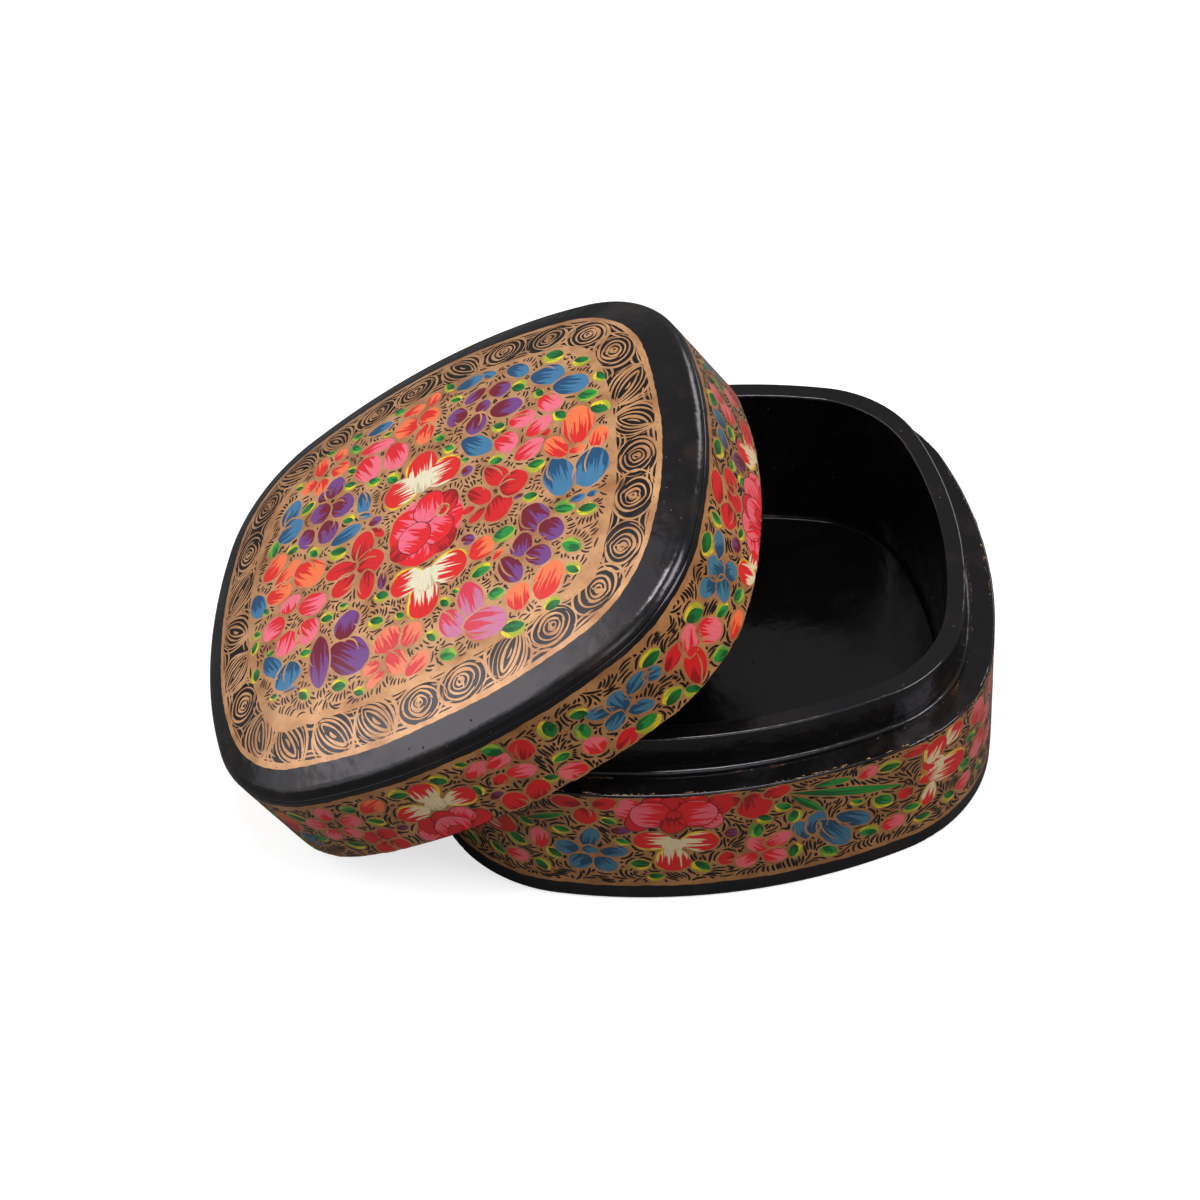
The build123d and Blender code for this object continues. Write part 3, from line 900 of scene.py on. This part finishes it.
# Leaves: x, y, length and, where it isn't the usual lean, the way they point.
TOP_LEAVES = (
    (2.8, 32.8, 2.6), (4.3, 29.1, 2.3), (17.2, 24.8, 3), (24, 27.9, 4, -25), (29.4, 23.7, 3, -15),
    (21, 20.6, 2.3), (1, 21.5, 2.2), (6, 18.9, 2), (12.9, 17.2, 2.6), (2.8, 17.8, 2.4),
    (32.9, 18, 2.6, -60), (30.5, 14.9, 3.6, -10), (25, 13, 3), (33, 10.9, 3.6, -35), (6.2, 13.3, 1.6),
    (12.5, 9.9, 2.8), (20.2, 4.2, 3.4), (33.6, -1, 2.2, 60), (21.4, 22.7, 1.3), (-16.7, 32.2, 2.2),
    (-7.6, 32.9, 2.4), (-22.3, 31.4, 1.8), (-17, 29.2, 2.8), (-10, 28.8, 1.6), (-28.8, 27, 2),
    (-17.3, 24.3, 2.2), (-26.7, 20.5, 3, 30), (-17.9, 20.8, 2.6), (-12.8, 18.8, 2.6), (-8.5, 17.4, 2.8),
    (-28.3, 19, 1.4), (-34, 14.9, 3.2, 65), (-29.8, 12.6, 2.4), (-17.8, 13, 2.4), (-25, 9.2, 2.6),
    (-20, 6.2, 3.6), (-35.2, 1, 1.8), (13.8, -7.8, 4, -5), (25.6, -8, 3.8, -30), (29.7, -10.7, 3.4, -15),
    (9.1, -13.3, 3.6, 10), (26.6, -16.9, 3.8), (12, -19.9, 3), (2.1, -16.5, 2.4), (4.2, -15.2, 1.5),
    (26.7, -22, 2.8, -45), (19, -2.3, 2.8, -20), (2.5, -28, 3.2), (15, -28.9, 4.2, -15),
    (22.5, -27.3, 2.8, 10), (-0.6, -22.5, 2.6, -45), (-37, -3.3, 2), (-37.3, -6, 2.4, 60), (-34, -9.2, 2),
    (-37.2, -12.3, 2.6, 90), (-26.4, -12.9, 2.4), (-21.9, -7.3, 2.6), (-18.5, -6.6, 1.8),
    (-10.7, -8.7, 2.8), (-11.8, -13.7, 3), (-7, -14.9, 2), (-33, -19.2, 1.6), (-26.5, -21.7, 2.6),
    (-19.2, -23.4, 3), (-15.2, -26.9, 2.2),
)
# The middle rose: round petals from the outside in, as x, y, radius, way it points and paint.
TOP_ROSE = (
    (-0.2, -0.9, 7.5, 60, "rose"), (-4.2, 2.3, 3, -35, "rose"), (-4.7, -2.9, 2.9, 30, "red"),
    (-1.3, -5.6, 2.9, 70, "rose"), (3.3, -5, 2.9, 120, "red"), (4.6, -0.8, 2.9, 170, "rose"),
    (3.8, 2.8, 2.8, -130, "red"), (0.6, 3.7, 3.3, -90, "rose"), (2.5, -2.3, 3.1, 140, "rose"),
    (-2.5, -1.8, 3.4, 150, "rose"),
)

TOP_ROSE_EYE = (3.3, 1.5, 1.15)              # x, y and radius of the ring in the middle of it
TOP_ROSE_LINES, WALL_ROSE_LINES = (4, 0.14), (9, 0.13)     # petals with a dark outline, and its width
USUAL_LEAN = -28                             # way that most leaves point
LEAF_GROWTH, PETAL_GROWTH, WALL_GROWTH = 1.14, 1.16, 1.08
RED_GROWTH, LEFT_GROWTH, LEFT_OF = 1.12, 1.08, -5      # red petals, and those left of this x, are larger
FLOWER_PETAL = {"fat": 1.07, "full": 0.48}   # shape of a flower's petals

# The tables give the lid's petals on a flat layout, which is bowed a little and then laid over the dome.
FLAT_CROWN, FLAT_BOW = 22.3, 2500
SLIDE_X, SLIDE_Y = 0.625, -1.083             # how far a point moves for each millimetre that it rises


def drape(x, y):
    """Where a point of the flat layout comes to lie once it is laid over the dome."""
    px, py = float(x), float(y)
    for _ in range(4):
        rise = float(dome_height(np.array(px), np.array(py))) - (FLAT_CROWN - (px**2 + py**2) / FLAT_BOW)
        px, py = x + SLIDE_X * rise, y + SLIDE_Y * rise
    return px, py


def paint_leaf(canvas, x, y, length, angle=None):
    """Yellow-green leaf that shows as a rim round the dark green one laid on it."""
    rng = canvas.rng
    angle = USUAL_LEAN + rng.uniform(-25, 25) if angle is None else angle
    angle += rng.choice((0, 180))
    long, wide = length * LEAF_GROWTH, length * rng.uniform(0.74, 0.9)
    ox, oy = turned(0, wide * rng.uniform(0.08, 0.18) * rng.choice((-1, 1)), angle, 0, 0)
    under, upper = (("lime", "green"), ("leaf", "green"), ("leaf", "deep"), ("leaf", "deep"))[rng.integers(4)]
    if canvas.petal(x, y, long, wide, angle, under, full=0.62):
        canvas.petal(x + ox, y + oy, long * 0.88, wide * rng.uniform(0.58, 0.74), angle + rng.uniform(-8, 8),
                     upper, LEAF_LIFT, full=0.62, over=True)


def paint_white(canvas, x, y, length, width, angle):
    """White petal with a red tip, and a yellow rim that shows on one side."""
    ox, oy = turned(0, 0.08 * width * canvas.rng.choice((-1, 1)), angle, 0, 0)
    canvas.petal(x + ox, y + oy, length * 0.98, width, angle + 180, "yellow", YELLOW_LIFT, fat=0.8, over=True)
    canvas.petal(x, y, length, width, angle + 180, "white", OVER_LIFT, fat=0.8, over=True)


def paint_round(canvas, x, y, size, angle, paint, lift, **more):
    """Round blob of paint, over whatever lies there."""
    canvas.petal(x, y, size, size, angle, paint, lift, full=0.5, over=True, **more)


def paint_rose(canvas, petals, lined, outline):
    """Round petals laid one over another, the last `lined` with a dark brush outline."""
    for k, (x, y, radius, angle, paint) in enumerate(petals):
        paint_round(canvas, x, y, 2 * radius, angle, paint, PETAL_LIFT + ROSE_RISE * k,
                    outline=outline if k >= len(petals) - lined else None)


def build_canvas(canvas, name, finishes, body, slot):
    """Makes a canvas's flowers, their gold rims and the hatching into pieces."""
    films = ("flowers", canvas.flowers), ("rims", canvas.rims), ("hatching", canvas.strokes)
    for (part, film), finish in zip(films, finishes):
        film.build(f"{name}_{part}", finish, body, slot)


def paint_top(seed):
    """Paints the lid's top: its flowers, then the hatching between them."""
    canvas = Canvas(on_top, (-46.0, 46.0), (-40.0, 40.0), False, seed)
    for flower in TOP_WHITE:
        paint_white(canvas, *flower)
    for x, y, size in TOP_HEARTS:
        paint_round(canvas, x, y, size, 90, "cream", HEART_LIFT)
    paint_rose(canvas, TOP_ROSE, *TOP_ROSE_LINES)
    x, y, radius = TOP_ROSE_EYE
    angle = np.linspace(0, 2 * math.pi, 22)
    ribbon(canvas.flowers, x + radius * np.cos(angle), y + radius * np.sin(angle), 0.5, ROSE_EYE_LIFT,
           paint="gilt")
    paint_round(canvas, x, y, 1.0, 0, "red", ROSE_EYE_LIFT, claim=False)
    for paint, petals in TOP_PETALS.items():
        for x, y, length, width, angle in petals:
            grow = PETAL_GROWTH * (RED_GROWTH if paint == "red" else 1) * (LEFT_GROWTH if x < LEFT_OF else 1)
            canvas.petal(*drape(x, y), length * grow, width * grow, angle, paint, **FLOWER_PETAL, rim=RIM_W)
    for x, y, *shape in TOP_LEAVES:
        paint_leaf(canvas, *drape(x, y), *shape)
    row, column = np.mgrid[0:canvas.rows, 0:canvas.columns]
    x = canvas.u0 + (column + 0.5) * canvas.cell - BORDER_SHIFT[0]
    y = canvas.v0 + (row + 0.5) * canvas.cell - BORDER_SHIFT[1]
    share = reach(x, y)
    inset = (1 - share) * np.hypot(x, y) / np.maximum(share, 0.05)
    hatch(canvas, inset < BORDER_IN - 0.1, TOP_STROKES, TOP_STROKE_W)
    # The top's hatching takes the lighter stroke copy, with painted light in its colour.
    build_canvas(canvas, "lid_top", (FLOWER, GOLD, STROKE_LIT_TOP), "lid", "painted_top")


paint_top(seed=5)


# ------------------------------------------------------------------ flowers of the two walls

# As on the top, with the length round the wall and the height in place of x and y.
LID_WALL_PETALS = {
    "red": (
        (211.4, 4.8, 4, 3.6, 160), (214.2, 5, 3.6, 3.6, 30), (211.8, 1.8, 4, 3.2, 210),
        (214.7, 1.9, 3.6, 3.2, -30), (239.1, 7.9, 3, 2.6, 20), (238.1, 2.1, 4.8, 4.2, 100),
        (242.6, 2.2, 4.8, 4.2, 60), (245.8, 11.7, 4.8, 4.2, 60), (259.8, 1.9, 5, 3.4, 20),
        (274.6, 8.8, 5.2, 3.2, 20), (276.2, 4.3, 6.6, 4.4, 62), (305.2, 13.5, 6, 3.8, 10),
        (302, 9.6, 5.2, 4.4, 170), (306.3, 8.6, 4.6, 4, 230), (309.2, 9.8, 4.6, 3.8, 20),
        (326.6, 2.4, 6, 3.6, 5),
    ),
    "pink": (
        (207.2, 13.2, 3.8, 3.4, 90), (210.7, 10.3, 4, 3.6, 0), (208.9, 7.3, 3.6, 3, -60),
        (205, 7.5, 3.6, 3, 230), (203.6, 10.8, 4, 3.4, 160), (237.4, 12.1, 5, 3.2, 20),
        (241.5, 11.8, 4.8, 3.2, 10), (243, 7.6, 5, 3.4, -20), (249.5, 2.2, 4.8, 4, 150),
        (255.2, 4.5, 4, 4.2, 90), (278.3, 8.4, 5.4, 4, 50), (281.9, 6.2, 5.4, 4.4, -60),
        (326.4, 8.4, 5, 4.4, 20), (329, 11, 4, 3.4, 60),
    ),
    "orange": ((216.8, 12.5, 5.2, 3.6, 20), (197.3, 11.2, 5, 4, 110), (286, 1.6, 5, 2.8, 10)),
    "plum": (
        (236.5, 4.9, 2.8, 2.6, 0), (298.2, 6.6, 2.6, 3, 90), (315.6, 6.9, 4.2, 3.8, 120),
        (218, 5.6, 2.4, 1.8, 0),
    ),
    "blue": (
        (259.7, 9.8, 4.4, 3, 160), (263.3, 9.3, 4.4, 4.6, 90), (267.4, 10.3, 4.8, 3.2, 20),
        (270.4, 9.6, 3.2, 3, -20), (260.6, 6.4, 4.4, 3, 210), (265.3, 5.7, 4.4, 3, -20),
        (287.1, 10.7, 4.6, 3.4, 150), (291, 10.4, 4.4, 4.4, 90), (295.2, 11, 4.8, 3, 15),
        (289, 7.4, 4.2, 3.8, 220), (292.8, 6.7, 3.8, 3.4, -40), (317.2, 11.8, 4.2, 3, 20),
        (321.8, 12, 3.8, 3.6, 60), (198.2, 5.6, 4.2, 4, 200),
    ),
}
LID_WALL_WHITE = (
    (226.8, 11.7, 5.4, 5, 90), (222.2, 8, 6, 4.2, 180), (231.2, 8.2, 6, 4.2, 0), (295.2, 2.6, 5, 4, 110),
    (298.6, 1.5, 4, 2.6, -10), (319.6, 4.3, 5.6, 5, 105), (323, 2.2, 5, 3.4, 20),
)
LID_WALL_HEARTS = ((226.9, 8.7, 3.8), (321.2, 1.9, 2.6))
LID_WALL_LEAVES = (
    (201, 12.9, 3.4), (200.8, 6.3, 3), (212.5, 13.3, 2.6), (214.9, 8.6, 2.8), (206.8, 3.7, 3),
    (222.9, 13.7, 3.2), (230.9, 13.6, 3), (234.8, 7.9, 2.6, 90), (236, 14.6, 2), (242.2, 14.5, 3.4),
    (245.7, 3.2, 2.4), (251.4, 12.7, 3.8, 75), (257.2, 12.1, 3), (249.8, 6.2, 3), (255.4, 8.4, 3.4, 80),
    (264.1, 1.9, 4.4, 0), (270.1, 3.5, 3.6, 0), (271.8, 12.3, 3.8), (272.9, 1.2, 3), (282, 11, 3.8),
    (286, 5.9, 3.2), (280.4, 1.4, 3.2), (293.3, 13.8, 4.2, -10), (298.9, 12.9, 3, 80), (295.4, 7.6, 3.6),
    (290.3, 3.3, 3), (313.7, 13.4, 4), (312, 6.6, 2.4), (321, 8.7, 3.2), (325.8, 13.4, 3.8),
    (301, 5.6, 2.2), (313, 9.2, 2.2),
)
LID_WALL_ROSES = (
    ((221.6, 2.2, 2.5, 200, "rose"), (230.6, 2.2, 2.5, -20, "red"), (223, 4, 2.4, 130, "red"),
     (228.6, 4, 2.5, 50, "rose"), (225.7, 4.6, 2.2, 90, "red"), (225.7, 1.9, 3.3, 90, "rose"),
     (225.6, 0.9, 1.6, 90, "red")),
    ((302, 2, 2.5, 200, "rose"), (314.6, 1.9, 2.3, -20, "rose"), (304.6, 3.2, 2.9, 130, "rose"),
     (311.6, 2.9, 3.1, 40, "rose"), (308.1, 3.6, 2.6, 90, "red"), (308, 2, 3, 90, "rose"),
     (307.9, 0.9, 1.6, 90, "red")),
)

BASE_PETALS = {
    "red": (
        (209.2, 25, 4.8, 3, 170), (212.2, 21.7, 4.2, 4, -80), (215.4, 25, 4.2, 3, 10),
        (236, 24.7, 4.2, 3.4, 150), (240, 22.4, 6.2, 5.6, -80), (243.6, 25, 4.6, 3, 10),
        (235, 9.8, 3, 3.4, 180), (267.8, 25.2, 5, 2.4, 0), (266, 15.4, 3, 2.8, 200),
    ),
    "pink": (
        (204.2, 14.8, 5, 3.4, 90), (240.1, 12.3, 4.4, 3.2, 130), (243.6, 12.8, 4.8, 3.4, 25),
        (238.3, 8.8, 4.2, 3.8, 220), (243, 8.8, 4.4, 3.6, -30), (259.2, 24.2, 3.6, 3, 20),
        (263.8, 9, 4.2, 3.8, 10), (283, 22.6, 5, 5, 60), (286.6, 18.2, 5, 4, -20),
        (283.4, 14.2, 5.4, 4.8, 240), (278.8, 8.8, 4, 3.4, 0), (289.2, 22.8, 4.4, 4, 30),
        (288, 11.6, 4.4, 4, -40),
    ),
    "plum": ((217.8, 18.2, 3.4, 2.2, 0), (235.9, 16.3, 2.4, 2.4, 0)),
    "blue": (
        (212.6, 16.1, 5.2, 3.2, 80), (208.7, 13.2, 4, 3.8, 180), (212.5, 12.9, 2.8, 2.4, 0),
        (216.5, 12.8, 4.6, 3.2, 0), (210.8, 9.8, 4.4, 3.8, 230), (214.9, 9.4, 4.4, 3.8, -50),
        (247.6, 13.9, 5.2, 3, 110), (250.2, 15, 5.6, 3.6, 75), (253.2, 11.4, 8.6, 4.4, -58),
        (256.6, 13.6, 6.8, 3.8, -35),
    ),
    "green": (
        (255.6, 21, 21, 1.9, -17), (248.8, 20.4, 8.4, 1.6, -46), (253, 24.2, 7, 1.5, -4),
        (205.4, 20.6, 7, 1.3, 20),
    ),
}
BASE_WHITE = (
    (223.1, 15.6, 6.6, 4.4, 178), (230.6, 14.8, 6.4, 4.8, -5), (226.2, 10.7, 6.2, 5.6, -90),
    (271.8, 22.8, 5.8, 4.4, 60), (276, 23.8, 4.6, 4, 40), (274.2, 16.6, 9.6, 5.4, -14),
    (270.6, 12.6, 5.4, 2.8, -105), (271.6, 19.8, 5, 3.2, 160), (271, 17.2, 4.8, 2.8, -165),
)
BASE_HEARTS = ((226.3, 14.2, 3.6), (272.4, 18.2, 2.6))
BASE_LEAVES = (
    (215.9, 20.7, 2.6), (208, 17.6, 2.8), (206.4, 11.2, 3), (204.4, 7.9, 3), (217.9, 15.3, 2.4),
    (220.7, 9.4, 3.2), (230.7, 8.2, 3.4), (223.2, 6.1, 2.6, 0), (240, 16, 3.4, 90), (241.4, 18.6, 2.6),
    (244.6, 20.8, 2.8), (246.6, 18, 3, 80), (246.6, 9, 3.2, 80), (252.2, 6.7, 3.4), (263, 23.9, 3.8, 0),
    (261.8, 15.6, 4), (259.5, 9, 3.4), (267.2, 11, 3), (269.3, 7.2, 3), (278.9, 13, 3.2), (274.9, 8.3, 3),
    (280.8, 18.4, 2.6), (284, 7.4, 2.8), (232.6, 19.2, 2.2), (257.2, 17.4, 2.2),
)
BASE_ROSES = (
    ((219.4, 23.8, 2.6, 160, "rose"), (234, 23.8, 2.5, 20, "red"), (223.4, 25, 2.2, 100, "red"),
     (230.4, 25, 2.2, 80, "red"), (226.6, 24.8, 2.3, 90, "red"), (220.6, 20.2, 2.2, 210, "red"),
     (232.6, 20.2, 2.2, -30, "rose"), (226.4, 19.6, 2.2, -90, "red"), (222.9, 22.3, 3.5, 175, "rose"),
     (230.4, 22.2, 3.5, 5, "rose"), (226.7, 22, 1.3, 90, "red")),
)

BLADE = {"fat": 1.07, "full": 0.85}          # shape of a long grass blade
LID_SPAN, BASE_SPAN = (196.0, 330.0), (203.0, 291.0)       # lengths round the walls that the tables cover


def around(table, low, high):
    """A side's flowers as laid out, and repeated round the unseen sides where there is room."""
    for k in range(4):
        for entry in table:
            s = entry[0] - k * QUARTER
            if k == 0 or high - PERIMETER < s < low:
                yield (s % PERIMETER, *entry[1:])


def paint_wall(name, petals, white, hearts, leaves, roses, zone, span, body, seed):
    """Paints one wall all round: its flowers, then the hatching between them."""
    canvas = Canvas(on_wall, (0.0, PERIMETER), zone, True, seed)
    for k in range(4):
        for rose in roses:
            s = rose[0][0] - k * QUARTER
            if k == 0 or span[1] - PERIMETER - 4 < s < span[0] - 6:
                paint_rose(canvas, [(x - k * QUARTER, *rest) for x, *rest in rose], *WALL_ROSE_LINES)
    for flower in around(white, *span):
        paint_white(canvas, *flower)
    for x, y, size in around(hearts, *span):
        paint_round(canvas, x, y, size, 90, "cream", HEART_LIFT)
    for paint, entries in petals.items():
        blade = paint == "green"
        grow, shape = (1.0, BLADE) if blade else (WALL_GROWTH, {**FLOWER_PETAL, "rim": RIM_W})
        for k, (x, y, length, width, angle) in enumerate(around(entries, *span)):
            canvas.petal(x, y, length * grow, width * grow, angle, paint, **shape,
                         over=blade or k < len(entries))
    for leaf in around(leaves, *span):
        paint_leaf(canvas, *leaf)
    blocked = np.zeros(canvas.taken.shape, bool)
    line = int(round(SIDE_LINE_W / canvas.cell))
    if body == "base":
        blocked[:line] = True
    else:
        blocked[-line:] = True
    hatch(canvas, blocked, WALL_STROKES, WALL_STROKE_W)
    # The walls take darker copies of the flower paint and the gold, with painted shade in their colour.
    build_canvas(canvas, name, (FLOWER_SHADED_SIDES, GOLD_SHADED_SIDES, STROKE), body, "painted_wall")


paint_wall("lid_wall", LID_WALL_PETALS, LID_WALL_WHITE, LID_WALL_HEARTS, LID_WALL_LEAVES, LID_WALL_ROSES,
           (LID_GOLD_LOW, LID_GOLD_HIGH), LID_SPAN, "lid", seed=7)
paint_wall("base_wall", BASE_PETALS, BASE_WHITE, BASE_HEARTS, BASE_LEAVES, BASE_ROSES,
           (BASE_GOLD_LOW, BASE_GOLD_HIGH), BASE_SPAN, "base", seed=9)


# ------------------------------------------------------------------ camera, floor and light

def aim_camera():
    """Camera at the box's showing angle, from angles in radians; it aims a little beside the origin."""
    azimuth, elevation, roll = -0.0694073, 0.8343885, 0.0702856
    distance, right_mm, up_mm = 704.8, -16.147, 17.171
    back = Vector((math.sin(azimuth) * math.cos(elevation), -math.cos(azimuth) * math.cos(elevation),
                   math.sin(elevation)))
    right = Vector((math.cos(azimuth), math.sin(azimuth), 0))
    up = back.cross(right)
    place = (right * right_mm + up * up_mm + back * distance) * MM
    side = right * math.cos(roll) - up * math.sin(roll)
    top = right * math.sin(roll) + up * math.cos(roll)
    lens = bpy.data.cameras.new("camera")
    lens.sensor_width, lens.lens = 36.0, 121.4
    lens.clip_start, lens.clip_end = 0.01, 20.0
    camera = bpy.data.objects.new("camera", lens)
    camera.matrix_world = Matrix.Translation(place) @ Matrix((side, top, back)).transposed().to_4x4()
    bpy.context.scene.collection.objects.link(camera)
    bpy.context.scene.camera = camera


def soft_light(name, place, size, watts):
    """Rectangular lamp that faces the box."""
    lamp = bpy.data.lights.new(name, "AREA")
    lamp.shape, lamp.size, lamp.size_y = "RECTANGLE", *size
    lamp.energy = watts
    made = bpy.data.objects.new(name, lamp)
    place, middle = Vector(place), Vector((0, 0, 0.03))
    aim = (middle - place).to_track_quat("-Z", "Y")
    made.matrix_world = Matrix.Translation(place) @ aim.to_matrix().to_4x4()
    bpy.context.scene.collection.objects.link(made)


def seen_strength(tree, plain, camera, glossy):
    """Strength that depends on whether the camera, a glossy or clear surface, or a matt one sees it.

    `camera` is a number or another node's output.
    """
    path = node(tree, "LightPath", (-900, 0)).outputs
    either = maths(tree, (-700, -100), "MAXIMUM", path["Is Glossy Ray"], path["Is Transmission Ray"])
    mirrored = ranged(tree, (-500, -100), either, 0.0, 1.0, plain, glossy)
    return node(tree, "Mix", (-300, 0), {0: path["Is Camera Ray"], 2: mirrored, 3: camera}).outputs[0]


def white_floor():
    """Pale floor that stays white to the camera and keeps only the object's soft shadow."""
    made, tree, shader = material("pale_floor")
    away = node(tree, "VectorMath", (-900, -300), {0: object_place(tree, (-1100, -300))}, operation="LENGTH")
    glow = ranged(tree, (-700, -300), away.outputs["Value"], 0.15, 0.5, 0.65, 1.0)
    shader.inputs["Roughness"].default_value = 0.9
    shader.inputs["Specular IOR Level"].default_value = 0.0
    shader.inputs["Emission Color"].default_value = (1, 1, 1, 1)
    plug(tree, shader, {
        "Base Color": seen_strength(tree, plain=0.13, camera=0.58, glossy=0.13),
        "Emission Strength": seen_strength(tree, plain=0.0, camera=glow, glossy=0.0),
    })
    half = 3.0
    corners = [(x * half, y * half, 0) for x, y in ((-1, -1), (1, -1), (1, 1), (-1, 1))]
    mesh = bpy.data.meshes.new("floor")
    mesh.from_pydata(corners, [], [(0, 1, 2, 3)])
    mesh.materials.append(made)
    floor = bpy.data.objects.new("floor", mesh)
    bpy.context.scene.collection.objects.link(floor)


def studio_world():
    """White to the camera, and a plain soft grey for everything that it lights."""
    world = bpy.data.worlds.new("studio")
    bpy.context.scene.world = world
    world.use_nodes = True
    tree = world.node_tree
    shade = tree.nodes["Background"]
    shade.inputs["Color"].default_value = (1, 1, 1, 1)
    plug(tree, shade, {"Strength": seen_strength(tree, plain=0.16, camera=1.0, glossy=0.3)})


# Lamps: name, place and size in metres, and watts.
LAMPS = (
    ("left_softbox", (-0.86, 0.1, 0.68), (1.5, 1.45), 6),
    ("left_softbox_core", (-0.84, 0.02, 0.63), (0.75, 0.6), 3),
    ("front_softbox", (0.12, -1.0, 0.5), (0.5, 0.4), 1.5),
    ("right_softbox", (0.8, -0.35, 0.75), (0.5, 0.5), 6.5),
    ("overhead_softbox", (0.0, -0.1, 1.2), (0.4, 0.3), 6.2),
    ("back_softbox", (0.7, 0.75, 0.4), (0.5, 0.4), 2.5),
)

aim_camera()
white_floor()
studio_world()
for lamp in LAMPS:
    soft_light(*lamp)
bpy.context.scene.view_settings.view_transform = "Standard"
